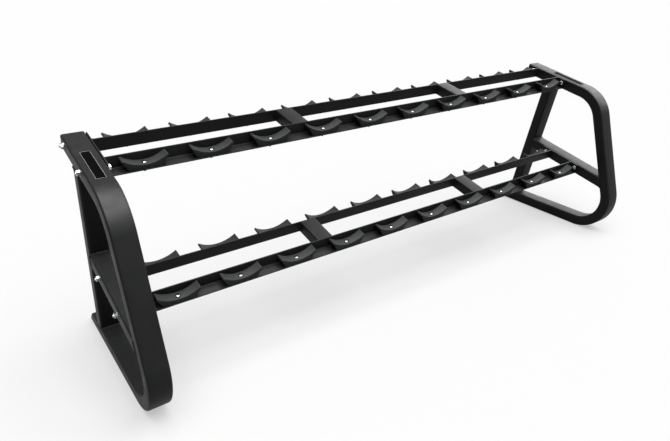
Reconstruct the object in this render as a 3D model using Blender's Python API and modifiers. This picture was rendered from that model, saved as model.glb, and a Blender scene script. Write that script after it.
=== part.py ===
"""Two-tier dumbbell rack.

Two end frames of bent rectangular tube carry two welded rail ladders. Each ladder holds a front
and a rear row of saddles, and a dumbbell rests across one front and one rear saddle.
Metres, +Z up, X along the rack, the front faces -Y, and the rack stands on Z = 0.
"""

import math

import bmesh
import bpy
from mathutils import Matrix, Vector

# Tube of the end frames.
TUBE_WIDTH = 0.076  # along X
TUBE_DEPTH = 0.051  # in the plane of the end frame
TUBE_WALL = 0.003
TUBE_CORNER = 0.007
CORNER_STEPS = 3
GAP = 0.0003  # left between pieces that touch

# End frame, in its own plane. Points are (y, z).
FRAME_INNER_X = 1.155
TOP_SLOPE = math.radians(11.5)
TOP_END_Y = 0.231
LEG_LEAN = math.radians(18.3)
LEG_AT_FLOOR_Y = -0.4115
TOP_BEND_RADIUS = 0.152
BASE_BEND_RADIUS = 0.148
BEND_STEP = math.radians(9.0)
UPRIGHT_FOOT_Y = 0.227
UPRIGHT_HEAD = Vector((0.081, 0.767))
CROSSBAR_SLOPE = math.radians(13.0)
BASE_MITRE = math.radians(45.0)  # the base ends longer below than above

# Rail ladders. A tier's own origin is midway between its rails, level with the tops of the flanges.
RAIL_GAP = 0.125
RAIL_HEIGHT = 0.048
RAIL_LEDGE = 0.046
RAIL_THICKNESS = 0.0045
RAIL_ROOT_RADIUS = 0.0025
RAIL_ROOT_TURNS = (270.0, 225.0, 180.0)  # degrees round the rounded root, from ledge to flange
BRACE_X = 0.432
BRACE_WIDTH = 0.070
BRACE_STEP = 0.0005  # the brace sits this much inside the flange edges
VENT_RADIUS = 0.005
END_PLATE = 0.005
END_PLATE_OVERHANG = 0.013  # past the edge of the rear ledge
TIERS = {
    "upper": (Vector((0.101, 0.767)), TOP_SLOPE),
    "lower": (Vector((-0.0625, 0.3519)), CROSSBAR_SLOPE),
}

# Saddles and the screw in the middle of each.
SADDLE_PITCH = 0.230
SADDLES_PER_ROW = 10
SADDLE_OUTBOARD = 0.0258  # from the inner face of the flange
SADDLE_WIDTH = 0.037
SADDLE_RADIUS = 0.1175
SADDLE_HALF_CHORD = 0.0715
SADDLE_BASE = 0.016  # under the middle of the cradle
SADDLE_FOOT_HALF = 0.055
SADDLE_TIP = 0.007
SADDLE_STEPS = 10
SCREW_RADIUS = 0.004
SCREW_HEAD_RADIUS = 0.0065
SCREW_HEAD_HEIGHT = 0.0022
SCREW_CROWN_RADIUS = 0.00455
SCREW_CROWN_HEIGHT = 0.00176
SCREW_NUT_RADIUS = 0.0072
SCREW_NUT_HEIGHT = 0.0068
SCREW_END = 0.0062  # thread that shows below the nut
SCREW_SIDES = 8

# Bolts that hold the ladders to the end frames: the head inside, the nut outside, a washer under each.
BOLT_OUTBOARD = 0.030
BOLT_DROP = 0.0225
BOLT_RADIUS = 0.005
WASHER_RADIUS = 0.0110
WASHER_HEIGHT = 0.0020
HEXAGON_RADIUS = 0.0098  # of the head and the nut, to the corners
HEXAGON_BEVEL = 0.0010
HEXAGON_SEAT = 0.0002  # a head or a nut reaches this far into its washer
BOLT_HEAD_HEIGHT = 0.0064
BOLT_NUT_HEIGHT = 0.0080
BOLT_END = 0.0045  # thread that shows past the nut
BOLT_SIDES = 12
HOLE_CLEARANCE = 0.0005

# End caps of the open tubes.
CAP_THICKNESS = 0.003
CAP_PLUG = 0.012
CAP_PLUG_PLAY = 0.0004
END_ALLOWANCE = 0.060  # extra length that is cut off again at an open end
BLOCK_SIDE = 0.300  # of the blocks that cut the tubes to length

SHARP_ANGLE = math.radians(35.0)
WELD_DISTANCE = 1e-5
IN_PLANE = Matrix(((0, 0, 1, 0), (1, 0, 0, 0), (0, 1, 0, 0), (0, 0, 0, 1)))  # (a, b, c) to (c, a, b)
PARTS = bpy.data.collections.new("dumbbell_rack")


def clear_scene():
    for obj in list(bpy.data.objects):
        bpy.data.objects.remove(obj)
    bpy.context.scene.collection.children.link(PARTS)


# Materials.


def material(name, colour, roughness, metallic):
    made = bpy.data.materials.new(name)
    made.use_nodes = True
    shader = made.node_tree.nodes["Principled BSDF"]
    shader.inputs["Base Color"].default_value = (*colour, 1.0)
    shader.inputs["Roughness"].default_value = roughness
    shader.inputs["Metallic"].default_value = metallic
    made.diffuse_color = (*colour, 1.0)
    return made


def powder_coat():
    return material("black_powder_coat", (0.022, 0.023, 0.025), 0.45, 0.0)


def saddle_plastic():
    return material("saddle_plastic", (0.035, 0.040, 0.038), 0.60, 0.0)


def zinc():
    return material("zinc_fastener", (0.75, 0.76, 0.78), 0.25, 1.0)


def cap_plastic():
    return material("cap_plastic", (0.015, 0.015, 0.016), 0.50, 0.0)


# Turning outlines, paths and profiles into solid meshes.


def linked(name, data):
    obj = bpy.data.objects.new(name, data)
    PARTS.objects.link(obj)
    return obj


def welded(mesh):
    """Closes the seams between the sides and the caps, and turns every face outwards."""
    work = bmesh.new()
    work.from_mesh(mesh)
    bmesh.ops.remove_doubles(work, verts=work.verts, dist=WELD_DISTANCE)
    bmesh.ops.recalc_face_normals(work, faces=work.faces)
    work.to_mesh(mesh)
    work.free()
    return mesh


def evaluated_mesh(obj):
    bpy.context.view_layer.update()
    graph = bpy.context.evaluated_depsgraph_get()
    return bpy.data.meshes.new_from_object(obj.evaluated_get(graph))


def curve_solid(name, curve, transform):
    """A mesh object made from a curve, with the transform worked into its points."""
    drawn = linked(name + "_curve", curve)
    mesh = welded(evaluated_mesh(drawn))
    bpy.data.objects.remove(drawn)
    mesh.transform(transform)
    return linked(name, mesh)


def flat_curve(name, points, cyclic):
    curve = bpy.data.curves.new(name, "CURVE")
    curve.dimensions = "2D"
    spline = curve.splines.new("POLY")
    spline.points.add(len(points) - 1)
    for place, point in zip(spline.points, points):
        place.co = (point[0], point[1], 0.0, 1.0)
    spline.use_cyclic_u = cyclic
    return curve


def extruded(name, outline, thickness, transform=IN_PLANE):
    """A flat outline given a thickness, half of it to each side."""
    curve = flat_curve(name, outline, True)
    curve.fill_mode = "BOTH"
    curve.extrude = thickness / 2
    return curve_solid(name, curve, transform)


def rounded_rectangle(width, depth, radius):
    points = []
    for quarter in range(4):
        side_x = 1 if quarter in (0, 3) else -1
        side_y = 1 if quarter in (0, 1) else -1
        for step in range(CORNER_STEPS + 1):
            turn = math.radians(90) * (quarter + step / CORNER_STEPS)
            x = side_x * (width / 2 - radius) + radius * math.cos(turn)
            y = side_y * (depth / 2 - radius) + radius * math.sin(turn)
            points.append((x, y))
    return points


def swept(name, path, width, depth, radius):
    """A rounded rectangular bar along a path of (y, z) points, its width along X."""
    outline = flat_curve(name + "_profile", rounded_rectangle(depth, width, radius), True)
    profile = linked(name + "_profile", outline)
    curve = flat_curve(name, path, False)
    curve.bevel_mode = "OBJECT"
    curve.bevel_object = profile
    curve.use_fill_caps = True
    solid = curve_solid(name, curve, IN_PLANE)
    bpy.data.objects.remove(profile)
    return solid


def turned(name, profile, sides):
    """A solid turned about Z from (radius, height) points that run from its top to its bottom."""
    mesh = bpy.data.meshes.new(name)
    points = [(radius, 0.0, height) for radius, height in profile]
    mesh.from_pydata(points, [(i, i + 1) for i in range(len(points) - 1)], [])
    obj = linked(name, mesh)
    screw = obj.modifiers.new("turn", "SCREW")
    screw.steps = sides
    screw.render_steps = sides
    screw.use_merge_vertices = True
    screw.merge_threshold = WELD_DISTANCE
    settle(obj)
    welded(obj.data)
    return obj


def box(name, size, centre):
    mesh = bpy.data.meshes.new(name)
    work = bmesh.new()
    place = Matrix.Translation(centre) @ Matrix.Diagonal((*size, 1.0))
    bmesh.ops.create_cube(work, size=1.0, matrix=place)
    work.to_mesh(mesh)
    work.free()
    return linked(name, mesh)


def rod(name, radius, length, centre, axis):
    """A straight round bar along X, Y or Z."""
    turn = {"X": Matrix.Rotation(math.radians(90), 4, "Y"), "Z": Matrix.Identity(4)}[axis]
    mesh = bpy.data.meshes.new(name)
    work = bmesh.new()
    bmesh.ops.create_cone(
        work,
        cap_ends=True,
        segments=SCREW_SIDES,
        radius1=radius,
        radius2=radius,
        depth=length,
        matrix=Matrix.Translation(centre) @ turn,
    )
    work.to_mesh(mesh)
    work.free()
    return linked(name, mesh)


def settle(obj):
    """Works the modifiers of an object into its mesh."""
    old = obj.data
    obj.data = evaluated_mesh(obj)
    obj.modifiers.clear()
    bpy.data.meshes.remove(old)


def combine(obj, others, operation):
    """Adds the other solids to this one or cuts them from it, and removes them."""
    for other in others:
        step = obj.modifiers.new(other.name, "BOOLEAN")
        step.operation = operation
        step.solver = "EXACT"
        step.object = other
    settle(obj)
    for other in others:
        bpy.data.objects.remove(other)


def dressed(obj, look):
    obj.data.materials.clear()
    obj.data.materials.append(look)
    obj.data.shade_smooth()
    obj.data.set_sharp_from_angle(angle=SHARP_ANGLE)
    return obj


# Lines and bends in the plane of an end frame.


def rising(slope):
    """The direction to the rear along a line that rises to the rear at this slope."""
    return Vector((math.cos(slope), math.sin(slope)))


def up_normal(along):
    return Vector((-along.y, along.x))


def crossing(point, along, other_point, other_along):
    offset = other_point - point
    reach = offset.cross(other_along) / along.cross(other_along)
    return point + along * reach


def bend(before, corner, after, radius):
    """The centre and the points of an arc of this radius that rounds a corner."""
    back = (before - corner).normalized()
    ahead = (after - corner).normalized()
    half = back.angle(ahead) / 2
    centre = corner + (back + ahead).normalized() * radius / math.sin(half)
    first = corner + back * radius / math.tan(half) - centre
    last = corner + ahead * radius / math.tan(half) - centre
    start = math.atan2(first.y, first.x)
    sweep = math.atan2(first.cross(last), first.dot(last))
    count = math.ceil(abs(sweep) / BEND_STEP)
    turns = [start + sweep * step / count for step in range(count + 1)]
    return centre, [centre + radius * Vector((math.cos(t), math.sin(t))) for t in turns]


TOP_ALONG = rising(TOP_SLOPE)
LEG_ALONG = Vector((math.sin(LEG_LEAN), math.cos(LEG_LEAN)))
BASE_ALONG = Vector((1.0, 0.0))
LEG_FOOT = Vector((LEG_AT_FLOOR_Y, 0.0))
BASE_POINT = Vector((0.0, TUBE_DEPTH / 2))
CROSSBAR_ALONG = rising(CROSSBAR_SLOPE)
TOP_POINT = TIERS["upper"][0] - up_normal(TOP_ALONG) * TUBE_DEPTH / 2
CROSSBAR_POINT = TIERS["lower"][0] - up_normal(CROSSBAR_ALONG) * TUBE_DEPTH / 2
TOP_END = TOP_POINT + TOP_ALONG * (TOP_END_Y - TOP_POINT.x) / TOP_ALONG.x
SHOULDER = crossing(TOP_END, TOP_ALONG, LEG_FOOT, LEG_ALONG)
TOE = crossing(BASE_POINT, BASE_ALONG, LEG_FOOT, LEG_ALONG)
TOE_CENTRE, TOE_BEND = bend(SHOULDER, TOE, BASE_POINT, BASE_BEND_RADIUS)
FRONT_Y = TOE_CENTRE.x - BASE_BEND_RADIUS - TUBE_DEPTH / 2
BASE_END_Y = -FRONT_Y - TUBE_DEPTH / 2 * math.tan(BASE_MITRE) - CAP_THICKNESS / math.cos(BASE_MITRE)
BASE_END = Vector((BASE_END_Y, TUBE_DEPTH / 2))
SHOULDER_BEND = bend(TOP_END, SHOULDER, LEG_FOOT, TOP_BEND_RADIUS)[1]
TOP_OVERRUN = TOP_END + TOP_ALONG * END_ALLOWANCE
BASE_OVERRUN = BASE_END + BASE_ALONG * END_ALLOWANCE
LOOP_PATH = [TOP_OVERRUN, *SHOULDER_BEND, *TOE_BEND, BASE_OVERRUN]
UPRIGHT_ALONG = (UPRIGHT_HEAD - Vector((UPRIGHT_FOOT_Y, 0.0))).normalized()
FRAME_MIDDLE_X = FRAME_INNER_X + TUBE_WIDTH / 2


# End frames.


def tube(name, path):
    """A hollow rectangular tube, open at both ends."""
    outer = swept(name, path, TUBE_WIDTH, TUBE_DEPTH, TUBE_CORNER)
    first = path[0] + (path[0] - path[1]).normalized() * TUBE_WALL
    last = path[-1] + (path[-1] - path[-2]).normalized() * TUBE_WALL
    inner_path = [first, *path[1:-1], last]
    inside = swept(
        name + "_inside",
        inner_path,
        TUBE_WIDTH - 2 * TUBE_WALL,
        TUBE_DEPTH - 2 * TUBE_WALL,
        TUBE_CORNER - TUBE_WALL,
    )
    combine(outer, [inside], "DIFFERENCE")
    return outer


def beyond(name, point, along, side):
    """A block that fills everything on one side of a line, a gap short of it."""
    normal = up_normal(along) * side
    middle = point + normal * (BLOCK_SIDE / 2 - GAP)
    block = box(name, (BLOCK_SIDE, BLOCK_SIDE, BLOCK_SIDE), (0.0, 0.0, 0.0))
    turn = Matrix.Rotation(math.atan2(along.y, along.x), 4, "X")
    block.data.transform(Matrix.Translation((0.0, *middle)) @ turn)
    return block


def bolt_centres(tier):
    """The (y, z) of the front and the rear bolt of a tier."""
    origin, slope = TIERS[tier]
    along = rising(slope)
    outboard = RAIL_GAP / 2 + BOLT_OUTBOARD
    level = origin - up_normal(along) * BOLT_DROP
    return {"front": level - along * outboard, "rear": level + along * outboard}


def bolt_holes(name, tier):
    holes = []
    for row, centre in bolt_centres(tier).items():
        radius = BOLT_RADIUS + HOLE_CLEARANCE
        holes.append(rod(f"{name}_hole_{row}", radius, 2 * TUBE_WIDTH, (0.0, *centre), "X"))
    return holes


def loop(name, side):
    made = tube(name, LOOP_PATH)
    ends = [
        beyond(name + "_top", TOP_END, end_face(TOP_ALONG, 0.0), -1),
        beyond(name + "_base", BASE_END, end_face(BASE_ALONG, BASE_MITRE), -1),
    ]
    combine(made, ends, "DIFFERENCE")
    combine(made, bolt_holes(name, "upper"), "DIFFERENCE")
    made.location.x = side * FRAME_MIDDLE_X
    return made


def upright(name, side):
    """The rear upright, cut to the slope of the top tube and to the base."""
    foot = Vector((UPRIGHT_FOOT_Y, 0.0))
    made = tube(name, [foot, UPRIGHT_HEAD + UPRIGHT_ALONG * TUBE_DEPTH])
    head = crossing(TOP_END, TOP_ALONG, foot, UPRIGHT_ALONG)
    under_top = head - up_normal(TOP_ALONG) * TUBE_DEPTH / 2
    over_base = Vector((foot.x, TUBE_DEPTH))
    ends = [
        beyond(name + "_head", under_top, TOP_ALONG, 1),
        beyond(name + "_foot", over_base, BASE_ALONG, -1),
    ]
    combine(made, ends, "DIFFERENCE")
    made.location.x = side * FRAME_MIDDLE_X
    return made


def crossbar(name, side):
    """The sloping bar between the leg and the upright, cut to both."""
    at_leg = crossing(CROSSBAR_POINT, CROSSBAR_ALONG, LEG_FOOT, LEG_ALONG)
    at_upright = crossing(CROSSBAR_POINT, CROSSBAR_ALONG, UPRIGHT_HEAD, UPRIGHT_ALONG)
    made = tube(name, [at_leg, at_upright])
    leg_rear = at_leg - up_normal(LEG_ALONG) * TUBE_DEPTH / 2
    upright_front = at_upright + up_normal(UPRIGHT_ALONG) * TUBE_DEPTH / 2
    ends = [
        beyond(name + "_leg", leg_rear, LEG_ALONG, 1),
        beyond(name + "_upright", upright_front, UPRIGHT_ALONG, -1),
    ]
    combine(made, ends, "DIFFERENCE")
    combine(made, bolt_holes(name, "lower"), "DIFFERENCE")
    made.location.x = side * FRAME_MIDDLE_X
    return made


def end_face(along, mitre):
    """The upward direction in the cut face of a tube end, square to the tube when the mitre is 0."""
    return up_normal(along) * math.cos(mitre) - along * math.sin(mitre)


def end_cap(name, side, end, along, mitre):
    """A plug that closes an open tube end, its plate outside and its plug inside the wall."""
    face = end_face(along, mitre)
    outward = -up_normal(face)
    far = end + along * END_ALLOWANCE
    made = swept(name, [end - along * END_ALLOWANCE, far], TUBE_WIDTH, TUBE_DEPTH, TUBE_CORNER)
    cuts = [
        beyond(name + "_inner", end, face, 1),
        beyond(name + "_outer", end + outward * CAP_THICKNESS, face, -1),
    ]
    combine(made, cuts, "DIFFERENCE")
    inset = TUBE_WALL + CAP_PLUG_PLAY
    plug = swept(
        name + "_plug",
        [end - along * CAP_PLUG, far],
        TUBE_WIDTH - 2 * inset,
        TUBE_DEPTH - 2 * inset,
        TUBE_CORNER - TUBE_WALL,
    )
    middle = end + outward * CAP_THICKNESS / 2
    combine(plug, [beyond(name + "_middle", middle, face, -1)], "DIFFERENCE")
    combine(made, [plug], "UNION")
    made.location.x = side * FRAME_MIDDLE_X
    return made


# Rail ladders, each in the frame of its own tier.


def tier_matrix(tier):
    origin, slope = TIERS[tier]
    return Matrix.Translation((0.0, *origin)) @ Matrix.Rotation(slope, 4, "X")


def rail_outline(row):
    """An angle section: the flange stands at the gap and the ledge points away from it."""
    inner = RAIL_GAP / 2
    root = inner + RAIL_THICKNESS
    edge = inner + RAIL_LEDGE
    floor = RAIL_THICKNESS - RAIL_HEIGHT
    points = [(inner, 0.0), (inner, -RAIL_HEIGHT), (edge, -RAIL_HEIGHT), (edge, floor)]
    for turn in RAIL_ROOT_TURNS:
        angle = math.radians(turn)
        y = root + RAIL_ROOT_RADIUS * (1 + math.cos(angle))
        z = floor + RAIL_ROOT_RADIUS * (1 + math.sin(angle))
        points.append((y, z))
    points.append((root, 0.0))
    return [(row * y, z) for y, z in points]


def saddle_places():
    middle = (SADDLES_PER_ROW - 1) / 2
    return [(number - middle) * SADDLE_PITCH for number in range(SADDLES_PER_ROW)]


def brace(name, x):
    """A tube across the gap between the rails, with a vent hole below."""
    height = RAIL_HEIGHT - 2 * BRACE_STEP
    length = RAIL_GAP + RAIL_THICKNESS
    centre = (x, 0.0, -RAIL_HEIGHT / 2)
    made = box(name, (BRACE_WIDTH, length, height), centre)
    inside = (BRACE_WIDTH - 2 * TUBE_WALL, RAIL_GAP - 2 * TUBE_WALL, height - 2 * TUBE_WALL)
    cuts = [
        box(name + "_inside", inside, centre),
        rod(name + "_vent", VENT_RADIUS, RAIL_HEIGHT, (x, 0.0, -RAIL_HEIGHT), "Z"),
    ]
    combine(made, cuts, "DIFFERENCE")
    return made


def end_plate(name, side):
    """The plate across the end of a ladder. It takes both bolts."""
    front = BRACE_STEP - RAIL_GAP / 2 - RAIL_LEDGE
    rear = RAIL_GAP / 2 + RAIL_LEDGE + END_PLATE_OVERHANG
    x = side * (FRAME_INNER_X - GAP - END_PLATE / 2 - BRACE_STEP)
    height = RAIL_HEIGHT - 2 * BRACE_STEP
    return box(name, (END_PLATE, rear - front, height), (x, (front + rear) / 2, -RAIL_HEIGHT / 2))


def ladder(name, tier):
    """Two angle rails, two braces and two end plates welded into one piece."""
    length = 2 * (FRAME_INNER_X - GAP)
    made = extruded(name, rail_outline(-1), length)
    added = [extruded(name + "_rear", rail_outline(1), length)]
    for side in (-1, 1):
        added.append(brace(f"{name}_brace_{side}", side * BRACE_X))
        added.append(end_plate(f"{name}_plate_{side}", side))
    combine(made, added, "UNION")
    holes = []
    for row in (-1, 1):
        y = row * (RAIL_GAP / 2 + SADDLE_OUTBOARD)
        for x in saddle_places():
            radius = SCREW_RADIUS + HOLE_CLEARANCE
            holes.append(rod(f"{name}_hole", radius, 3 * RAIL_THICKNESS, (x, y, -RAIL_HEIGHT), "Z"))
        y = row * (RAIL_GAP / 2 + BOLT_OUTBOARD)
        for side in (-1, 1):
            radius = BOLT_RADIUS + HOLE_CLEARANCE
            centre = (side * FRAME_INNER_X, y, -BOLT_DROP)
            holes.append(rod(f"{name}_bolt", radius, 4 * END_PLATE, centre, "X"))
    combine(made, holes, "DIFFERENCE")
    made.matrix_world = tier_matrix(tier)
    return made


# Saddles.


def saddle_outline():
    """Seen from the front: a block with a round cradle on top and ends that lean in to its foot."""
    centre_z = SADDLE_BASE + SADDLE_RADIUS
    half = math.asin(SADDLE_HALF_CHORD / SADDLE_RADIUS)
    turns = [half * (2 * step / SADDLE_STEPS - 1) for step in range(SADDLE_STEPS + 1)]
    cradle = [(SADDLE_RADIUS * math.sin(t), centre_z - SADDLE_RADIUS * math.cos(t)) for t in turns]
    reach = SADDLE_RADIUS + SADDLE_TIP
    tip_x = reach * math.sin(half)
    tip_z = centre_z - reach * math.cos(half)
    foot = [(SADDLE_FOOT_HALF, 0.0), (-SADDLE_FOOT_HALF, 0.0)]
    return [*cradle, (tip_x, tip_z), *foot, (-tip_x, tip_z)]


def saddle_screw(name):
    """The screw through the saddle and the ledge, with its nut under the ledge."""
    under = -RAIL_THICKNESS - 2 * GAP
    profile = [
        (0.0, SADDLE_BASE + SCREW_HEAD_HEIGHT),
        (SCREW_CROWN_RADIUS, SADDLE_BASE + SCREW_CROWN_HEIGHT),
        (SCREW_HEAD_RADIUS, SADDLE_BASE - SCREW_HEAD_HEIGHT),
        (SCREW_RADIUS, SADDLE_BASE - SCREW_HEAD_HEIGHT),
        (SCREW_RADIUS, under),
        (SCREW_NUT_RADIUS, under),
        (SCREW_NUT_RADIUS, under - SCREW_NUT_HEIGHT),
        (SCREW_RADIUS, under - SCREW_NUT_HEIGHT),
        (SCREW_RADIUS, under - SCREW_NUT_HEIGHT - SCREW_END),
        (0.0, under - SCREW_NUT_HEIGHT - SCREW_END),
    ]
    return turned(name, profile, SCREW_SIDES)


def saddle_mesh():
    upright_plane = Matrix.Rotation(math.radians(90), 4, "X")
    made = extruded("saddle", saddle_outline(), SADDLE_WIDTH, upright_plane)
    combine(made, [saddle_screw("saddle_screw")], "UNION")
    mesh = made.data
    bpy.data.objects.remove(made)
    return mesh


def saddle_row(tier, row_name, row, mesh, look):
    level = RAIL_THICKNESS - RAIL_HEIGHT + GAP
    y = row * (RAIL_GAP / 2 + SADDLE_OUTBOARD)
    for number, x in enumerate(saddle_places(), start=1):
        obj = linked(f"saddle_{tier}_{row_name}_{number:02d}", mesh)
        obj.matrix_world = tier_matrix(tier) @ Matrix.Translation((x, y, level))
        dressed(obj, look)


# Bolts.


def hexagon(name, top, bottom):
    """The hexagonal body of a head or a nut, about Z, with both faces bevelled."""
    face_radius = HEXAGON_RADIUS - HEXAGON_BEVEL
    profile = [
        (0.0, top),
        (face_radius, top),
        (HEXAGON_RADIUS, top - HEXAGON_BEVEL),
        (HEXAGON_RADIUS, bottom + HEXAGON_BEVEL),
        (face_radius, bottom),
        (0.0, bottom),
    ]
    return turned(name, profile, 6)


def bolt_mesh():
    """A bolt along Z with its nut up. Its origin is at the outer face of the tube."""
    inner_face = -TUBE_WIDTH - 2 * GAP - END_PLATE - BRACE_STEP - GAP
    washer_top = GAP + WASHER_HEIGHT
    washer_bottom = inner_face - WASHER_HEIGHT
    nut_top = washer_top + BOLT_NUT_HEIGHT
    head_bottom = washer_bottom - BOLT_HEAD_HEIGHT
    profile = [
        (0.0, nut_top + BOLT_END),
        (BOLT_RADIUS, nut_top + BOLT_END),
        (BOLT_RADIUS, washer_top),
        (WASHER_RADIUS, washer_top),
        (WASHER_RADIUS, GAP),
        (BOLT_RADIUS, GAP),
        (BOLT_RADIUS, inner_face),
        (WASHER_RADIUS, inner_face),
        (WASHER_RADIUS, washer_bottom),
        (0.0, washer_bottom),
    ]
    made = turned("bolt", profile, BOLT_SIDES)
    nut = hexagon("bolt_nut", nut_top, washer_top - HEXAGON_SEAT)
    head = hexagon("bolt_head", washer_bottom + HEXAGON_SEAT, head_bottom)
    combine(made, [nut, head], "UNION")
    mesh = made.data
    bpy.data.objects.remove(made)
    return mesh


def bolt(name, side, centre, mesh, look):
    obj = linked(name, mesh)
    turn = Matrix.Rotation(side * math.radians(90), 4, "Y")
    obj.matrix_world = Matrix.Translation((side * (FRAME_INNER_X + TUBE_WIDTH), *centre)) @ turn
    return dressed(obj, look)


def main():
    clear_scene()
    coat = powder_coat()
    plastic = saddle_plastic()
    metal = zinc()
    cap = cap_plastic()
    fixing = bolt_mesh()
    for side_name, side in (("left", -1), ("right", 1)):
        dressed(loop(f"loop_{side_name}", side), coat)
        dressed(upright(f"upright_{side_name}", side), coat)
        dressed(crossbar(f"crossbar_{side_name}", side), coat)
        dressed(end_cap(f"cap_top_{side_name}", side, TOP_END, TOP_ALONG, 0.0), cap)
        dressed(end_cap(f"cap_base_{side_name}", side, BASE_END, BASE_ALONG, BASE_MITRE), cap)
        for tier in TIERS:
            for row_name, centre in bolt_centres(tier).items():
                bolt(f"bolt_{tier}_{row_name}_{side_name}", side, centre, fixing, metal)
    shape = saddle_mesh()
    for tier in TIERS:
        dressed(ladder(f"ladder_{tier}", tier), coat)
        saddle_row(tier, "front", -1, shape, plastic)
        saddle_row(tier, "rear", 1, shape, plastic)


main()
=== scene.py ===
"""Looks of the two-tier dumbbell rack: finely shaped visual pieces, finishes, floor, light and camera.

Metres, +Z up, X along the rack, the front faces -Y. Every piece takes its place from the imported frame.
"""

import math

import bmesh
import bpy
from mathutils import Matrix, Vector


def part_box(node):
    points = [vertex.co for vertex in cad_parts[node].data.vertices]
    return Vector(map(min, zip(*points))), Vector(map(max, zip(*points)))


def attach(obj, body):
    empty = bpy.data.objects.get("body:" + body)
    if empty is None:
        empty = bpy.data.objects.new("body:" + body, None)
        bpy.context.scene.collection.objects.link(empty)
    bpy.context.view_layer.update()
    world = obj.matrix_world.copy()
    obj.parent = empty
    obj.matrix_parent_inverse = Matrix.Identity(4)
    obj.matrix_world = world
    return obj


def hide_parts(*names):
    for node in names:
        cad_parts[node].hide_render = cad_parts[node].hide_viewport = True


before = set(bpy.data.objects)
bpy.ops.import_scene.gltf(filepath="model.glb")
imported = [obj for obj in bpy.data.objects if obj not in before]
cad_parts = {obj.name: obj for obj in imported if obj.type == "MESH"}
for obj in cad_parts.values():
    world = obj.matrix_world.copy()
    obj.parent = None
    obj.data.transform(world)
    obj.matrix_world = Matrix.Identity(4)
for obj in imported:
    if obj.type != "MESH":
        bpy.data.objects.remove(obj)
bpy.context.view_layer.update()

SIDES = {"left": -1, "right": 1}
ROWS = {"front": -1, "rear": 1}
TIERS = ("upper", "lower")
SADDLES_PER_ROW = 10

# Sections and shapes that the frame's boxes don't tell.
GAP = 0.0003  # left between pieces that touch
TUBE_CORNER = 0.0075
CORNER_STEPS = 6
TOP_BEND_RADIUS = 0.152  # of the tube's middle line, as the next
BASE_BEND_RADIUS = 0.148
BEND_STEP = math.radians(2.5)
SHARPEST_CORNER = 0.5  # cosine of the half turn past which a swept section isn't widened further
LEG_LEAN = math.radians(18.3)
UPRIGHT_FOOT_Y = 0.227
UPRIGHT_HEAD_Y = 0.081
UPRIGHT_HEAD_Z = 0.767
UPRIGHT_LEAN = math.atan2(UPRIGHT_FOOT_Y - UPRIGHT_HEAD_Y, UPRIGHT_HEAD_Z)
BASE_MITRE = math.radians(45.0)
CAP_THICKNESS = 0.003
# Outer edge of an end plug: how far each ring is below the face, and how far in from the side.
CAP_EDGE = ((0.0014, 0.0), (0.0005, 0.0004), (0.0, 0.0016))

RAIL_GAP = 0.125
RAIL_HEIGHT = 0.048
RAIL_LEDGE = 0.046
RAIL_THICKNESS = 0.0045
RAIL_EDGE = 0.0011
RAIL_ROOT_RADIUS = 0.0030  # between flange and ledge, on the saddles' side
RAIL_HEEL_RADIUS = 0.0022  # outside the same corner
PLATE_INSET = 0.0005
PLATE_THICKNESS = 0.005
PLATE_OVERHANG = 0.013  # behind the rear rail
PLATE_CORNER = 0.004
PLATE_EDGE = 0.0006
BRACE_WIDTH = 0.070
BRACE_STEP = 0.0004  # the brace sits this much inside the flange's edges
BRACE_CORNER = 0.0055
BRACE_X = 0.432  # from the middle of the rack

WELD_RADIUS = 0.0028
WELD_RIPPLE = 0.0048
BRACE_WELD_RADIUS = 0.0020
BRACE_WELD_RIPPLE = 0.0042
BRACE_WELD_INSET = 0.0005
BRACE_WELD_SHORTER = 0.0045  # than the rail is high
BRACE_WELD_DROP = 0.001
WELD_STEP = 0.0012
WELD_SIDES = 8
WELD_SWELL = 0.16  # of the radius, at each ripple
WELD_UNEVEN = 0.07  # of the radius, out of step with the ripples
WELD_UNEVEN_RATE = 311.0

SADDLE_WIDTH = 0.037
SADDLE_RADIUS = 0.1175
SADDLE_HALF_CHORD = 0.0715
SADDLE_BASE = 0.016  # under the middle of the cradle
SADDLE_FOOT_HALF = 0.055
SADDLE_TIP = 0.007  # thickness of the cradle's two ends
SADDLE_OUTBOARD = 0.0258  # from the inner face of the flange
SADDLE_STEPS = 36
SADDLE_EDGE = 0.0018
SADDLE_EDGE_STEPS = 3
RECESS_RADIUS = 0.0094
RECESS_DEPTH = 0.0020
RECESS_CHAMFER = 0.0008
RECESS_RIM = 0.0004  # the recess is widest this much above the cradle's lowest point

# Saddle screw. The head's outline is (radius, height above its seat); the rest hangs below the ledge.
SCREW_HEAD = (
    (0.0, 0.0038),
    (0.0030, 0.0037),
    (0.0053, 0.0031),
    (0.0068, 0.0018),
    (0.0073, 0.0004),
    (0.0073, 0.0001),
    (0.0, 0.0001),
)
SCREW_SOCKET_ACROSS = 0.0050
SCREW_SOCKET_DEPTH = 0.0022
SCREW_SOCKET_ABOVE = 0.004  # the cutter reaches this far over the crown
SCREW_WASHER_RADIUS = 0.0082
SCREW_WASHER = (0.0, -0.0012)  # top and bottom, as for the nut and the thread
SCREW_NUT_ACROSS = 0.0128
SCREW_NUT = (-0.0013, -0.0066)
SCREW_RADIUS = 0.0040
SCREW_THREAD = (-0.0062, -0.0122)
SCREW_ROOT = -0.0060
SCREW_TIP = -0.0128
SCREW_TIP_RADIUS = 0.0026
SCREW_THREAD_PITCH = 0.00125
SCREW_THREAD_DEPTH = 0.0006

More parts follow.
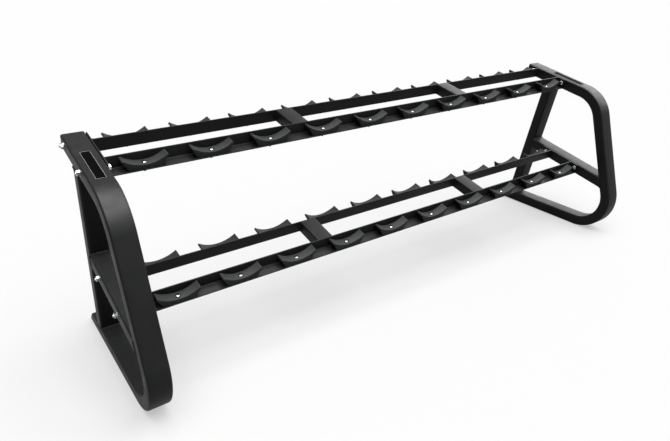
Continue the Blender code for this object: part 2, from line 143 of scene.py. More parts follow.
# Frame bolt. Tops and bottoms are measured outwards: the nut and its washer from the tube's outer
# face, the head and its washer from the end plate's inner face.
BOLT_WASHER_RADIUS = 0.0109
BOLT_ACROSS = 0.0168
BOLT_WASHER = (0.0021, 0.0004)
BOLT_NUT = (0.0103, 0.0022)
BOLT_RADIUS = 0.0050
BOLT_THREAD = (0.0143, 0.0098)
BOLT_END = 0.0148
BOLT_END_RADIUS = 0.0038
BOLT_THREAD_PITCH = 0.0015
BOLT_THREAD_DEPTH = 0.0007
BOLT_INNER_WASHER = (-0.0001, -0.0019)
BOLT_HEAD = (-0.0020, -0.0083)
NUT_CHAMFER = 0.0007
NUT_FACE_SHARE = 0.90  # of the corner's radius, at the faces
WASHER_EDGE = 0.0003
HEXAGON = [math.radians(60 * k) for k in range(6)]

# How far, in degrees, each fastener was turned when it was tightened.
SCREW_TURN_PER_NUMBER = 47
SCREW_TURN_PER_ROW = 13
BOLT_TURN_PER_LETTER = 17
BOLT_TURN_PER_METRE = 900

# Sides of what is turned.
ROUND_SIDES = 36
SCREW_HEAD_SIDES = 32
SCREW_SIDES = 20
BOLT_SIDES = 24

# Badge, measured along the top tube from the upper tier's origin.
BADGE_FROM = -0.184
BADGE_TO = -0.011
BADGE_WIDTH = 0.031
BADGE_CORNER = 0.0025
BADGE_PLATE = (0.0001, 0.0009)
BADGE_RIM_TOP = 0.0014
BADGE_RIM_WIDTH = 0.0012
BADGE_INNER_CORNER = 0.0015

SHARP_TURN = math.radians(32)  # edges that turn more than this are drawn sharp
WELD_SHARP_TURN = math.radians(60)
BEVEL_TURN = math.radians(30)  # edges that turn more than this are rounded
MERGE = 1e-6  # vertices closer than this are one
ON_AXIS = 1e-7  # a radius under this is a point on the axis
EDGE_LAYER = "rounded_edge"
EDGE_LEAST_TURN = math.radians(10)
EDGE_MOST_TURN = math.radians(60)

# Studio. The floor and the surround are paler to the camera than to reflections.
FLOOR_SIZE = 60.0  # from the middle to each side
FLOOR_DROP = 0.0002
FLOOR_TONE = 0.094
FLOOR_GLOW = 0.47  # to the camera
FLOOR_DIM = 0.20  # to reflections
WORLD = 0.33
BACKGROUND = 0.97
LIGHTS = (
    # name, direction it lies in, strength, angular width in degrees
    ("overhead", (0.0, -0.20, 1.0), 14.0, 63.0),
    ("right_high", (0.80, -0.12, 0.58), 2.9, 44.0),
    ("right_low", (0.86, 0.42, 0.40), 1.2, 40.0),
    ("front_low", (0.20, -0.86, 0.54), 0.9, 38.0),
)
CAMERA_PLACE = Vector((-1.5434, -1.7363, 1.3319))
CAMERA_YAW = math.radians(-35.633)
CAMERA_PITCH = math.radians(-25.196)
CAMERA_ROLL = math.radians(0.536)
CAMERA_SENSOR = 36.0
CAMERA_LENS = 30.639


# ---------------------------------------------------------------- finishes


class Finish:
    """A node material being put together. The shader is its Principled BSDF."""

    def __init__(self, name, colour, roughness, metallic=0.0):
        self.material = bpy.data.materials.new(name)
        self.material.use_nodes = True
        self.nodes = self.material.node_tree.nodes
        self.links = self.material.node_tree.links
        self.shader = self.nodes["Principled BSDF"]
        self.shader.inputs["Base Color"].default_value = (*colour, 1.0)
        self.shader.inputs["Roughness"].default_value = roughness
        self.shader.inputs["Metallic"].default_value = metallic
        self.place = self.nodes.new("ShaderNodeTexCoord").outputs["Object"]

    def noise(self, scale, detail=3.0, stretch=None):
        place = self.place
        if stretch:
            mapping = self.nodes.new("ShaderNodeMapping")
            mapping.inputs["Scale"].default_value = stretch
            self.links.new(place, mapping.inputs["Vector"])
            place = mapping.outputs["Vector"]
        made = self.nodes.new("ShaderNodeTexNoise")
        made.inputs["Scale"].default_value = scale
        made.inputs["Detail"].default_value = detail
        self.links.new(place, made.inputs["Vector"])
        return made.outputs["Fac"]

    def ranged(self, value, low, high, start=0.3, end=0.7):
        made = self.nodes.new("ShaderNodeMapRange")
        made.inputs["From Min"].default_value = start
        made.inputs["From Max"].default_value = end
        made.inputs["To Min"].default_value = low
        made.inputs["To Max"].default_value = high
        self.links.new(value, made.inputs["Value"])
        return made.outputs["Result"]

    def mottled(self, scale, dark, light):
        """Soft clouds between two colours."""
        return self.blend(self.ranged(self.noise(scale), 0.0, 1.0), dark, light)

    def blend(self, factor, first, second):
        """A colour between two; each is a colour or another socket."""
        made = self.nodes.new("ShaderNodeMix")
        made.data_type = "RGBA"
        self.links.new(factor, made.inputs["Factor"])
        # The colour sockets go by number: the node has others of the same names.
        for socket, value in ((made.inputs[6], first), (made.inputs[7], second)):
            if isinstance(value, tuple):
                socket.default_value = (*value, 1.0)
            else:
                self.links.new(value, socket)
        return made.outputs[2]

    def colour(self, value):
        self.links.new(value, self.shader.inputs["Base Color"])

    def shine(self, level):
        self.shader.inputs["Specular IOR Level"].default_value = level

    def rough(self, value):
        self.links.new(value, self.shader.inputs["Roughness"])

    def bump(self, *layers):
        """Each layer is (height, strength, distance in metres)."""
        before = None
        for height, strength, distance in layers:
            made = self.nodes.new("ShaderNodeBump")
            made.inputs["Strength"].default_value = strength
            made.inputs["Distance"].default_value = distance
            self.links.new(height, made.inputs["Height"])
            if before:
                self.links.new(before, made.inputs["Normal"])
            before = made.outputs["Normal"]
        self.links.new(before, self.shader.inputs["Normal"])

    def upward(self):
        """How far a surface faces up, from 0 to 1."""
        geometry = self.nodes.new("ShaderNodeNewGeometry")
        split = self.nodes.new("ShaderNodeSeparateXYZ")
        self.links.new(geometry.outputs["Normal"], split.inputs["Vector"])
        return split.outputs["Z"]

    def edges(self):
        """Where a surface is on a rounded edge, from 0 to 1. See mark_edges."""
        made = self.nodes.new("ShaderNodeAttribute")
        made.attribute_name = EDGE_LAYER
        return made.outputs["Fac"]

    def times(self, first, second):
        made = self.nodes.new("ShaderNodeMath")
        made.operation = "MULTIPLY"
        self.links.new(first, made.inputs[0])
        self.links.new(second, made.inputs[1])
        return made.outputs["Value"]


def powder_coat():
    """Satin black powder coat: orange peel, fine grain; what faces up is lighter, partly dust and partly
    painted top light; rounded edges are lighter, partly rubbed paint and partly a painted highlight.
    """
    look = Finish("powder_coat", (0.006, 0.0062, 0.0066), 0.42)
    look.shine(0.12)
    tone = look.mottled(4.0, (0.0027, 0.0028, 0.0030), (0.0040, 0.0041, 0.0044))
    # Painted top light mixed with dust: faces that point up get a lighter colour, in noisy patches.
    level = look.ranged(look.upward(), 0.0, 1.0, 0.55, 1.0)
    dust_and_top_light = look.times(level, look.ranged(look.noise(55.0, 5.0), 0.05, 0.40))
    tone = look.blend(dust_and_top_light, tone, (0.0080, 0.0082, 0.0086))
    # Painted edge highlight mixed with rubbed paint: rounded edges get a lighter colour, in noisy
    # patches.
    rubbed_and_highlit = look.times(look.edges(), look.ranged(look.noise(26.0, 6.0), 0.0, 0.8, 0.48, 0.66))
    look.colour(look.blend(rubbed_and_highlit, tone, (0.0180, 0.0184, 0.0190)))
    look.rough(look.ranged(look.noise(28.0, 4.0), 0.38, 0.48))
    look.bump((look.noise(420.0, 2.0), 0.20, 0.0005), (look.noise(1900.0, 2.0), 0.12, 0.0002))
    return look.material


def weld_coat():
    """Powder coat over a weld: a little glossier, with the grain of the bead below."""
    look = Finish("weld_coat", (0.008, 0.0083, 0.0088), 0.36)
    look.shine(0.16)
    look.colour(look.mottled(60.0, (0.0034, 0.0035, 0.0038), (0.0060, 0.0062, 0.0065)))
    look.bump((look.noise(700.0, 3.0), 0.25, 0.0003))
    return look.material


def saddle_plastic():
    """Dark grey moulded polyurethane: matte grain, faint scuffs along the cradle, and a lighter top that
    is partly dust and partly painted top light.
    """
    look = Finish("saddle_plastic", (0.036, 0.041, 0.039), 0.6)
    look.shine(0.13)
    tone = look.mottled(14.0, (0.0050, 0.0056, 0.0054), (0.0068, 0.0077, 0.0073))
    # Painted top light mixed with dust: faces that point up get a lighter colour, which leaves the fronts
    # darker.
    level = look.ranged(look.upward(), 0.0, 1.0, 0.15, 0.85)
    dust_and_top_light = look.times(level, look.ranged(look.noise(45.0, 4.0), 0.55, 0.85))
    tone = look.blend(dust_and_top_light, tone, (0.0088, 0.0098, 0.0093))
    scuffs = look.ranged(look.noise(160.0, 4.0, (1.0, 0.12, 1.0)), 0.0, 0.5, 0.60, 0.80)
    look.colour(look.blend(scuffs, tone, (0.0118, 0.0131, 0.0123)))
    look.rough(look.ranged(look.noise(90.0, 4.0), 0.52, 0.70))
    look.bump((look.noise(1300.0, 2.0), 0.30, 0.0003))
    return look.material


def zinc(name, dull, bright):
    """Zinc plate between two tones: slight cloudiness and fine turning marks."""
    look = Finish(name, bright, 0.24, 1.0)
    look.colour(look.mottled(180.0, dull, bright))
    look.rough(look.ranged(look.noise(420.0), 0.16, 0.34))
    look.bump((look.noise(2400.0, 2.0), 0.10, 0.0001))
    return look.material


def cap_plastic():
    """Black moulded plug with a fine spark-eroded grain."""
    look = Finish("cap_plastic", (0.008, 0.008, 0.009), 0.5)
    look.shine(0.22)
    look.colour(look.mottled(30.0, (0.0040, 0.0040, 0.0043), (0.0065, 0.0065, 0.0068)))
    look.rough(look.ranged(look.noise(120.0), 0.45, 0.60))
    look.bump((look.noise(1500.0, 2.0), 0.35, 0.0003))
    return look.material


def badge_face():
    """Matte black plate with a faint print texture."""
    look = Finish("badge_face", (0.0010, 0.0010, 0.0011), 0.5)
    look.shine(0.004)
    look.colour(look.mottled(75.0, (0.0008, 0.0008, 0.0009), (0.0014, 0.0014, 0.0015)))
    look.rough(look.ranged(look.noise(90.0), 0.50, 0.62))
    look.bump((look.noise(600.0, 2.0), 0.05, 0.0002))
    return look.material


def badge_rim():
    """Silver-grey enamel of the badge's rim."""
    look = Finish("badge_rim", (0.060, 0.061, 0.062), 0.45)
    look.shine(0.15)
    look.colour(look.mottled(120.0, (0.066, 0.067, 0.068), (0.090, 0.091, 0.092)))
    look.rough(look.ranged(look.noise(300.0, 3.0, (0.2, 1.0, 1.0)), 0.40, 0.55))
    return look.material


# ---------------------------------------------------------------- mesh tools


def shown(name, work, look, sharp=SHARP_TURN):
    """Makes a smooth-shaded object of a bmesh, and frees the bmesh."""
    bmesh.ops.remove_doubles(work, verts=work.verts, dist=MERGE)
    bmesh.ops.recalc_face_normals(work, faces=work.faces)
    mesh = bpy.data.meshes.new(name)
    work.to_mesh(mesh)
    work.free()
    mesh.materials.append(look)
    smooth(mesh, sharp)
    return placed(name, mesh)


def smooth(mesh, sharp=SHARP_TURN):
    mesh.shade_smooth()
    mesh.set_sharp_from_angle(angle=sharp)


def mark_edges(work):
    """Notes the vertices on rounded edges, where the paint gets rubbed and a highlight is painted. A flat
    face keeps none.
    """
    layer = work.verts.layers.float.new(EDGE_LAYER)
    for vert in work.verts:
        turns = [edge.calc_face_angle(0.0) for edge in vert.link_edges]
        vert[layer] = float(any(EDGE_LEAST_TURN < turn < EDGE_MOST_TURN for turn in turns))


def placed(name, mesh, matrix=None):
    obj = bpy.data.objects.new(name, mesh)
    bpy.context.scene.collection.objects.link(obj)
    if matrix is not None:
        obj.matrix_world = matrix
    return obj


def declared(obj, slot, *nodes):
    """Rides on the rack and stands for these CAD nodes. The slot is not used."""
    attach(obj, "root")
    if nodes:
        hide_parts(*nodes)
    return obj


def rounded_rectangle(across, along, radius):
    """Points of a rectangle about the origin, its corners rounded."""
    points = []
    for quarter in range(4):
        side_a = 1 if quarter in (0, 3) else -1
        side_b = 1 if quarter in (0, 1) else -1
        for step in range(CORNER_STEPS + 1):
            turn = math.radians(90) * (quarter + step / CORNER_STEPS)
            a = side_a * (across / 2 - radius) + radius * math.cos(turn)
            b = side_b * (along / 2 - radius) + radius * math.sin(turn)
            points.append((a, b))
    return points


def bridge(work, rings, closed=False):
    """Quads between rings of vertices. Each end gets a face, unless the rings close on themselves."""
    pairs = list(zip(rings, rings[1:]))
    if closed:
        pairs.append((rings[-1], rings[0]))
    for ring, after in pairs:
        count = len(ring)
        for i in range(count):
            j = (i + 1) % count
            work.faces.new((ring[i], ring[j], after[j], after[i]))
    if not closed:
        work.faces.new(list(reversed(rings[0])))
        work.faces.new(rings[-1])


def sweep(work, path, section, middle_x, planes):
    """A bar along a path of (y, z) points, widened at the path's corners to keep its depth.

    Each end is cut by a plane (point, normal), or square where there is none.
    """
    steps = [(b - a).normalized() for a, b in zip(path, path[1:])]
    rings = []
    for i, point in enumerate(path):
        before = steps[max(i - 1, 0)]
        after = steps[min(i, len(steps) - 1)]
        along = (before + after).normalized()
        normal = normal_of(along)
        widen = 1 / max(before.dot(along), SHARPEST_CORNER)
        plane = {0: planes[0], len(path) - 1: planes[1]}.get(i)
        ring = []
        for a, x in section:
            at = point + normal * a * widen
            if plane:
                at = on_plane(at, along, plane)
            ring.append(work.verts.new((middle_x + x, at.x, at.y)))
        rings.append(ring)
    bridge(work, rings)


def prism(work, outline, low, high, to_space):
    """A flat outline given length between two levels, then carried into place by a function."""
    rings = [[work.verts.new(to_space(a, b, level)) for a, b in outline] for level in (low, high)]
    bridge(work, rings)


def ring_about_z(work, radius, height, sides):
    """New vertices in a circle about Z."""
    turns = [2 * math.pi * i / sides for i in range(sides)]
    return [work.verts.new((radius * math.cos(t), radius * math.sin(t), height)) for t in turns]


def turned(work, profile, sides):
    """A solid of revolution about Z from (radius, height) points, top to bottom."""
    rings = []
    for radius, height in profile:
        if radius < ON_AXIS:
            rings.append([work.verts.new((0, 0, height))])
        else:
            rings.append(ring_about_z(work, radius, height, sides))
    for ring, after in zip(rings, rings[1:]):
        for i in range(sides):
            j = (i + 1) % sides
            first = [ring[i % len(ring)], ring[j % len(ring)]]
            corners = [*first, after[j % len(after)], after[i % len(after)]]
            corners = [c for k, c in enumerate(corners) if c not in corners[:k]]
            work.faces.new(corners)


def apart(ring, other):
    """How far two rings lie from each other, summed over their vertices."""
    return sum((a.co - b.co).length for a, b in zip(ring, other))


def shifted(ring):
    """A ring started at each of its vertices in turn."""
    return [ring[k:] + ring[:k] for k in range(len(ring))]


def bead(work, points, radius, ripple):
    """A weld bead round a closed line of points, with the ripples that a torch leaves."""
    turns = [2 * math.pi * k / WELD_SIDES for k in range(WELD_SIDES)]
    run = 0.0
    rings = []
    for i, point in enumerate(points):
        ahead = points[(i + 1) % len(points)]
        along = (ahead - points[i - 1]).normalized()
        side = along.orthogonal().normalized()
        other = along.cross(side)
        wave = WELD_SWELL * math.sin(2 * math.pi * run / ripple)
        swell = radius * (1 + wave + WELD_UNEVEN * math.sin(run * WELD_UNEVEN_RATE))
        ring = [point + (side * math.cos(t) + other * math.sin(t)) * swell for t in turns]
        rings.append([work.verts.new(at) for at in ring])
        run += (ahead - point).length
    # Each ring starts where it lies nearest to the one before, so that the bead isn't twisted.
    lined = [rings[0]]
    for ring in rings[1:]:
        shifts = shifted(ring)
        flipped = [list(reversed(shift)) for shift in shifts]
        last = lined[-1]
        lined.append(min(shifts + flipped, key=lambda turn: apart(turn, last)))
    lined.append(min(shifted(lined[0]), key=lambda turn: apart(turn, lined[-1])))
    for ring, after in zip(lined, lined[1:]):
        for i in range(WELD_SIDES):
            j = (i + 1) % WELD_SIDES
            work.faces.new((ring[i], ring[j], after[j], after[i]))


def resampled(points, step):
    """Points at even steps round a closed line."""
    made = []
    for here, there in zip(points, points[1:] + points[:1]):
        count = max(1, round((there - here).length / step))
        made += [here.lerp(there, k / count) for k in range(count)]
    return made


def baked(obj):
    """The mesh of an object with its modifiers worked in. The object is removed."""
    bpy.context.view_layer.update()
    graph = bpy.context.evaluated_depsgraph_get()
    mesh = bpy.data.meshes.new_from_object(obj.evaluated_get(graph))
    bpy.data.objects.remove(obj)
    return mesh


def cut(obj, cutter):
    """The mesh of an object with the cutter taken out of it. Both objects are removed."""
    step = obj.modifiers.new("cut", "BOOLEAN")
    step.operation = "DIFFERENCE"
    step.solver = "EXACT"
    step.object = cutter
    mesh = baked(obj)
    bpy.data.objects.remove(cutter)
    work = bmesh.new()
    work.from_mesh(mesh)
    bmesh.ops.remove_doubles(work, verts=work.verts, dist=MERGE)
    bmesh.ops.dissolve_degenerate(work, edges=work.edges, dist=MERGE)
    work.to_mesh(mesh)
    work.free()
    return mesh


# ---------------------------------------------------------------- places, from the frame


def tier_matrix(tier):
    """The frame of a tier: its matrix, its slope, and its origin as (y, z).

    The origin is between the rails, level with the tops of the flanges.
    """
    rows = []
    for row_name in ROWS:
        low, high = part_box(f"saddle_{tier}_{row_name}_01")
        rows.append((low + high) / 2)
    slope = math.atan2(rows[1].z - rows[0].z, rows[1].y - rows[0].y)
    turn = Matrix.Rotation(slope, 4, "X")
    low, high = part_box(f"ladder_{tier}")
    # The front ledge's lower edge is the lowest point, and the end plates' upper corner the foremost.
    lowest = turn @ Vector((0, -RAIL_GAP / 2 - RAIL_LEDGE, -RAIL_HEIGHT))
    foremost = turn @ Vector((0, PLATE_INSET - RAIL_GAP / 2 - RAIL_LEDGE, -PLATE_INSET))
    origin = Vector((0, low.y - foremost.y, low.z - lowest.z))
    return Matrix.Translation(origin) @ turn, slope, Vector((origin.y, origin.z))


def rising(slope):
    return Vector((math.cos(slope), math.sin(slope)))


def normal_of(along):
    return Vector((-along.y, along.x))


def crossing(point, along, other, other_along):
    """Where two lines of the end frame's plane meet."""
    return point + along * ((other - point).cross(other_along) / along.cross(other_along))


def arc(centre, radius, first, last):
    """Points of an arc between two directions given as angles."""
    count = math.ceil(abs(last - first) / BEND_STEP)
    turns = [first + (last - first) * k / count for k in range(count + 1)]
    return [centre + radius * Vector((math.cos(t), math.sin(t))) for t in turns]


TIER = {tier: tier_matrix(tier) for tier in TIERS}
LOOP_LOW, LOOP_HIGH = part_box("loop_right")
TUBE_WIDTH = LOOP_HIGH.x - LOOP_LOW.x
TUBE_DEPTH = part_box("cap_base_right")[1].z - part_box("cap_base_right")[0].z
FRAME_MIDDLE_X = (LOOP_HIGH.x + LOOP_LOW.x) / 2
FRAME_INNER_X = LOOP_LOW.x
TOP_SLOPE = TIER["upper"][1]
TOP_ALONG = rising(TOP_SLOPE)
TOP_POINT = TIER["upper"][2] - normal_of(TOP_ALONG) * TUBE_DEPTH / 2
TOE_Y = LOOP_LOW.y + BASE_BEND_RADIUS + TUBE_DEPTH / 2
TOE_CENTRE = Vector((TOE_Y, TUBE_DEPTH / 2 + BASE_BEND_RADIUS))
LEG_ALONG = Vector((math.sin(LEG_LEAN), math.cos(LEG_LEAN)))
LEG_POINT = TOE_CENTRE + normal_of(LEG_ALONG) * BASE_BEND_RADIUS
SHOULDER = crossing(TOP_POINT, TOP_ALONG, LEG_POINT, LEG_ALONG)
UPRIGHT_ALONG = Vector((-math.sin(UPRIGHT_LEAN), math.cos(UPRIGHT_LEAN)))
UPRIGHT_REAR_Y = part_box("upright_right")[1].y
UPRIGHT_FOOT = Vector((UPRIGHT_REAR_Y - TUBE_DEPTH / 2 / math.cos(UPRIGHT_LEAN), TUBE_DEPTH))
BAR_SLOPE = TIER["lower"][1]
BAR_ALONG = rising(BAR_SLOPE)
BAR_POINT = TIER["lower"][2] - normal_of(BAR_ALONG) * TUBE_DEPTH / 2
# Directions in the end frame's plane, as (y, z).
UP = Vector((0.0, 1.0))
REARWARD = Vector((1.0, 0.0))


def top_end():
    """Middle of the top tube's upper end, under its plug."""
    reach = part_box("cap_top_right")[1].y - TIER["upper"][2].x - TUBE_DEPTH * math.sin(TOP_SLOPE)
    return TOP_POINT + TOP_ALONG * (reach / math.cos(TOP_SLOPE) - CAP_THICKNESS)


def base_end():
    """Middle of the base tube's mitred end, under its plug."""
    reach = TUBE_DEPTH / 2 * math.tan(BASE_MITRE) + CAP_THICKNESS / math.cos(BASE_MITRE)
    return Vector((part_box("cap_base_right")[1].y - reach, TUBE_DEPTH / 2))


TOP_END = top_end()
BASE_END = base_end()
MITRE_NORMAL = Vector((math.cos(BASE_MITRE), math.sin(BASE_MITRE)))


def loop_path():
    """The tube's middle line, from the top end round the shoulder and the toe to the base end."""
    back = -(SHOULDER - TOP_POINT).normalized()
    ahead = -LEG_ALONG
    angle = back.angle(ahead) / 2
    centre = SHOULDER + (back + ahead).normalized() * TOP_BEND_RADIUS / math.sin(angle)
    start = math.radians(90) + TOP_SLOPE
    end = math.radians(180) - LEG_LEAN
    shoulder = arc(centre, TOP_BEND_RADIUS, start, end)
    toe = arc(TOE_CENTRE, BASE_BEND_RADIUS, end, math.radians(270))
    return [TOP_END, *shoulder, *toe, BASE_END]


# ---------------------------------------------------------------- end frames


def on_plane(at, along, plane):
    """The point moved along a direction until it lies on a plane (point, normal)."""
    point, normal = plane
    return at + along * ((point - at).dot(normal) / along.dot(normal))


def section_line(point, along, plane, middle_x):
    """The closed line round a tube where it meets a plane."""
    line = []
    for a, x in rounded_rectangle(TUBE_DEPTH, TUBE_WIDTH, TUBE_CORNER):
        at = on_plane(point + normal_of(along) * a, along, plane)
        line.append(Vector((middle_x + x, at.x, at.y)))
    return resampled(line, WELD_STEP)


def tube(name, path, middle_x, planes, coat, node):
    """A powder-coated tube that stands for one CAD node."""
    work = bmesh.new()
    sweep(work, path, rounded_rectangle(TUBE_DEPTH, TUBE_WIDTH, TUBE_CORNER), middle_x, planes)
    mark_edges(work)
    declared(shown(name, work, coat), "frame", node)


def end_frame(side_name, side, coat, weld):
    """The loop, the upright and the crossbar of one end, and the welds between them."""
    middle_x = side * FRAME_MIDDLE_X
    base_plane = (BASE_END, MITRE_NORMAL)
    tube(f"tube_loop_{side_name}", loop_path(), middle_x, (None, base_plane), coat, f"loop_{side_name}")

    top_normal = normal_of(TOP_ALONG)
    under_top = crossing(TOP_POINT, TOP_ALONG, UPRIGHT_FOOT, UPRIGHT_ALONG) - top_normal * TUBE_DEPTH / 2
    head_plane = (under_top, top_normal)
    foot_plane = (Vector((UPRIGHT_FOOT.x, TUBE_DEPTH)), UP)
    ends = [UPRIGHT_FOOT, under_top]
    node = f"upright_{side_name}"
    tube(f"tube_upright_{side_name}", ends, middle_x, (foot_plane, head_plane), coat, node)

    leg_normal = normal_of(LEG_ALONG)
    back_normal = normal_of(UPRIGHT_ALONG)
    at_leg = crossing(BAR_POINT, BAR_ALONG, LEG_POINT, LEG_ALONG) - leg_normal * TUBE_DEPTH / 2
    at_back = crossing(BAR_POINT, BAR_ALONG, UPRIGHT_FOOT, UPRIGHT_ALONG) + back_normal * TUBE_DEPTH / 2
    leg_plane = (at_leg, leg_normal)
    back_plane = (at_back, back_normal)
    planes = (leg_plane, back_plane)
    ends = [crossing(BAR_POINT, BAR_ALONG, point, normal_of(normal)) for point, normal in planes]
    tube(f"tube_crossbar_{side_name}", ends, middle_x, planes, coat, f"crossbar_{side_name}")

    joints = (
        ("head", UPRIGHT_FOOT, UPRIGHT_ALONG, head_plane),
        ("foot", UPRIGHT_FOOT, UPRIGHT_ALONG, foot_plane),
        ("leg", BAR_POINT, BAR_ALONG, leg_plane),
        ("back", BAR_POINT, BAR_ALONG, back_plane),
    )
    for joint, point, along, plane in joints:
        work = bmesh.new()
        bead(work, section_line(point, along, plane, middle_x), WELD_RADIUS, WELD_RIPPLE)
        declared(shown(f"weld_{joint}_{side_name}", work, weld, WELD_SHARP_TURN), "frame")


def end_plug(name, side, point, along, plane_normal, look):
    """The plate of an end plug, its outer edge rounded off."""
    work = bmesh.new()
    middle_x = side * FRAME_MIDDLE_X
    levels = [(GAP, 0.0), *((CAP_THICKNESS - below, inset) for below, inset in CAP_EDGE)]
    rings = []
    for out, inset in levels:
        plane = (point + plane_normal * out, plane_normal)
        outline = rounded_rectangle(
            TUBE_DEPTH - 2 * inset, TUBE_WIDTH - 2 * inset, TUBE_CORNER - inset / 2
        )
        ring = []
        for a, x in outline:
            at = on_plane(point + normal_of(along) * a, along, plane)
            ring.append(work.verts.new((middle_x + x, at.x, at.y)))
        rings.append(ring)
    bridge(work, rings)
    return shown(name, work, look)


# ---------------------------------------------------------------- rail ladders


def rail_outline(row):
    """Angle section with rounded edges and a rounded root, as (y, z) in the tier's frame."""
    edge = RAIL_EDGE
    inner = RAIL_GAP / 2
    root = inner + RAIL_THICKNESS
    out = inner + RAIL_LEDGE
    floor = RAIL_THICKNESS - RAIL_HEIGHT
    # Each corner: its y and z, the way to its arc's centre, the arc's first and last angle, its radius.
    corners = (
        (inner, 0.0, 1, -1, 180, 90, edge),
        (root, 0.0, -1, -1, 90, 0, edge),
        (root, floor, 1, 1, 180, 270, RAIL_ROOT_RADIUS),
        (out, floor, -1, -1, 90, 0, edge),
        (out, -RAIL_HEIGHT, -1, 1, 0, -90, edge),
        (inner, -RAIL_HEIGHT, 1, 1, 270, 180, RAIL_HEEL_RADIUS),
    )
    points = []
    for y, z, side_y, side_z, first, last, radius in corners:
        for step in range(CORNER_STEPS + 1):
            turn = math.radians(first + (last - first) * step / CORNER_STEPS)
            at_y = y + radius * (side_y + math.cos(turn))
            at_z = z + radius * (side_z + math.sin(turn))
            points.append((row * at_y, at_z))
    return points


def ladder(tier, coat, weld):
    """The two rails, the end plates, and the braces with their welds."""
    matrix = TIER[tier][0]
    inside = FRAME_INNER_X - GAP
    nodes = [f"ladder_{tier}"]  # the first rail stands for the whole ladder
    for row_name, row in ROWS.items():
        work = bmesh.new()
        prism(work, rail_outline(row), -inside, inside, lambda a, b, x: matrix @ Vector((x, a, b)))
        mark_edges(work)
        declared(shown(f"rail_{tier}_{row_name}", work, coat), "rail", *nodes)
        nodes = []
    for side_name, side in SIDES.items():
        end_plate(tier, side_name, side, coat)
        brace(tier, side_name, side, coat, weld)


def brace(tier, side_name, side, coat, weld):
    """A tube between the rails, and the weld at each of its ends."""
    matrix = TIER[tier][0]
    middle = side * BRACE_X
    half = RAIL_GAP / 2 - GAP
    outline = rounded_rectangle(BRACE_WIDTH, RAIL_HEIGHT - 2 * BRACE_STEP, BRACE_CORNER)

    def to_tier(a, b, y):
        return matrix @ Vector((middle + a, y, b - RAIL_HEIGHT / 2))

    work = bmesh.new()
    prism(work, outline, -half, half, to_tier)
    mark_edges(work)
    declared(shown(f"brace_{tier}_{side_name}", work, coat), "rail")
    outline = rounded_rectangle(
        BRACE_WIDTH - 2 * BRACE_WELD_INSET, RAIL_HEIGHT - BRACE_WELD_SHORTER, BRACE_CORNER
    )
    for row_name, row in ROWS.items():
        line = []
        for a, b in outline:
            z = b - RAIL_HEIGHT / 2 - BRACE_WELD_DROP
            line.append(matrix @ Vector((middle + a, row * half, z)))
        work = bmesh.new()
        bead(work, resampled(line, WELD_STEP), BRACE_WELD_RADIUS, BRACE_WELD_RIPPLE)
        name = f"weld_brace_{tier}_{row_name}_{side_name}"
        declared(shown(name, work, weld, WELD_SHARP_TURN), "rail")


def end_plate(tier, side_name, side, coat):
    """The plate across the end of a ladder, its corners rounded."""
    matrix = TIER[tier][0]
    front = PLATE_INSET - RAIL_GAP / 2 - RAIL_LEDGE
    rear = RAIL_GAP / 2 + RAIL_LEDGE + PLATE_OVERHANG
    tall = RAIL_HEIGHT - 2 * PLATE_INSET
    outline = rounded_rectangle(rear - front, tall, PLATE_CORNER)
    outer = FRAME_INNER_X - GAP - PLATE_INSET
    edge = PLATE_EDGE
    work = bmesh.new()
    rings = []
    levels = ((0.0, edge), (edge, 0.0), (PLATE_THICKNESS - edge, 0.0), (PLATE_THICKNESS, edge))
    for level, inset in levels:
        x = side * (outer - level)
        ring = []
        for a, b in outline:
            y = (rear + front) / 2 + a * (1 - 2 * inset / (rear - front))
            z = -RAIL_HEIGHT / 2 + b * (1 - 2 * inset / tall)
            ring.append(work.verts.new(matrix @ Vector((x, y, z))))
        rings.append(ring)
    bridge(work, rings)
    declared(shown(f"plate_{tier}_{side_name}", work, coat), "rail")


# ---------------------------------------------------------------- saddles and fasteners


def saddle_mesh(look):
    """A block with a round cradle on top, its edges rounded and a recess for the screw."""
    centre_z = SADDLE_BASE + SADDLE_RADIUS
    half = math.asin(SADDLE_HALF_CHORD / SADDLE_RADIUS)
    turns = [half * (2 * step / SADDLE_STEPS - 1) for step in range(SADDLE_STEPS + 1)]
    cradle = [(SADDLE_RADIUS * math.sin(t), centre_z - SADDLE_RADIUS * math.cos(t)) for t in turns]
    reach = SADDLE_RADIUS + SADDLE_TIP
    tip_x = reach * math.sin(half)
    tip_z = centre_z - reach * math.cos(half)
    foot = [(SADDLE_FOOT_HALF, 0.0), (-SADDLE_FOOT_HALF, 0.0)]
    work = bmesh.new()
    outline = [*cradle, (tip_x, tip_z), *foot, (-tip_x, tip_z)]
    half_wide = SADDLE_WIDTH / 2
    prism(work, outline, -half_wide, half_wide, lambda a, b, y: Vector((a, y, b)))
    obj = shown("saddle", work, look)
    round_off = obj.modifiers.new("round", "BEVEL")
    round_off.width = SADDLE_EDGE
    round_off.segments = SADDLE_EDGE_STEPS
    round_off.limit_method = "ANGLE"
    round_off.angle_limit = BEVEL_TURN
    obj = placed("saddle", baked(obj))
    recess = SADDLE_BASE - RECESS_DEPTH
    above = SADDLE_BASE + SADDLE_EDGE
    rim = SADDLE_BASE + RECESS_RIM
    wide = RECESS_RADIUS + RECESS_CHAMFER
    profile = [(0, above), (wide, above), (wide, rim), (RECESS_RADIUS, recess), (0, recess)]
    work = bmesh.new()
    turned(work, profile, ROUND_SIDES)
    cutter = shown("saddle_recess", work, look)
    mesh = cut(obj, cutter)
    smooth(mesh)
    return mesh


def thread(radius, levels, pitch, depth):
    """Profile points of a thread between two levels, from top to bottom, as even rings."""
    top, bottom = levels
    count = max(2, round((top - bottom) / pitch))
    points = []
    for step in range(count):
        level = top - (top - bottom) * step / count
        points += [(radius - depth, level), (radius, level - pitch / 2)]
    points.append((radius - depth, bottom))
    return points


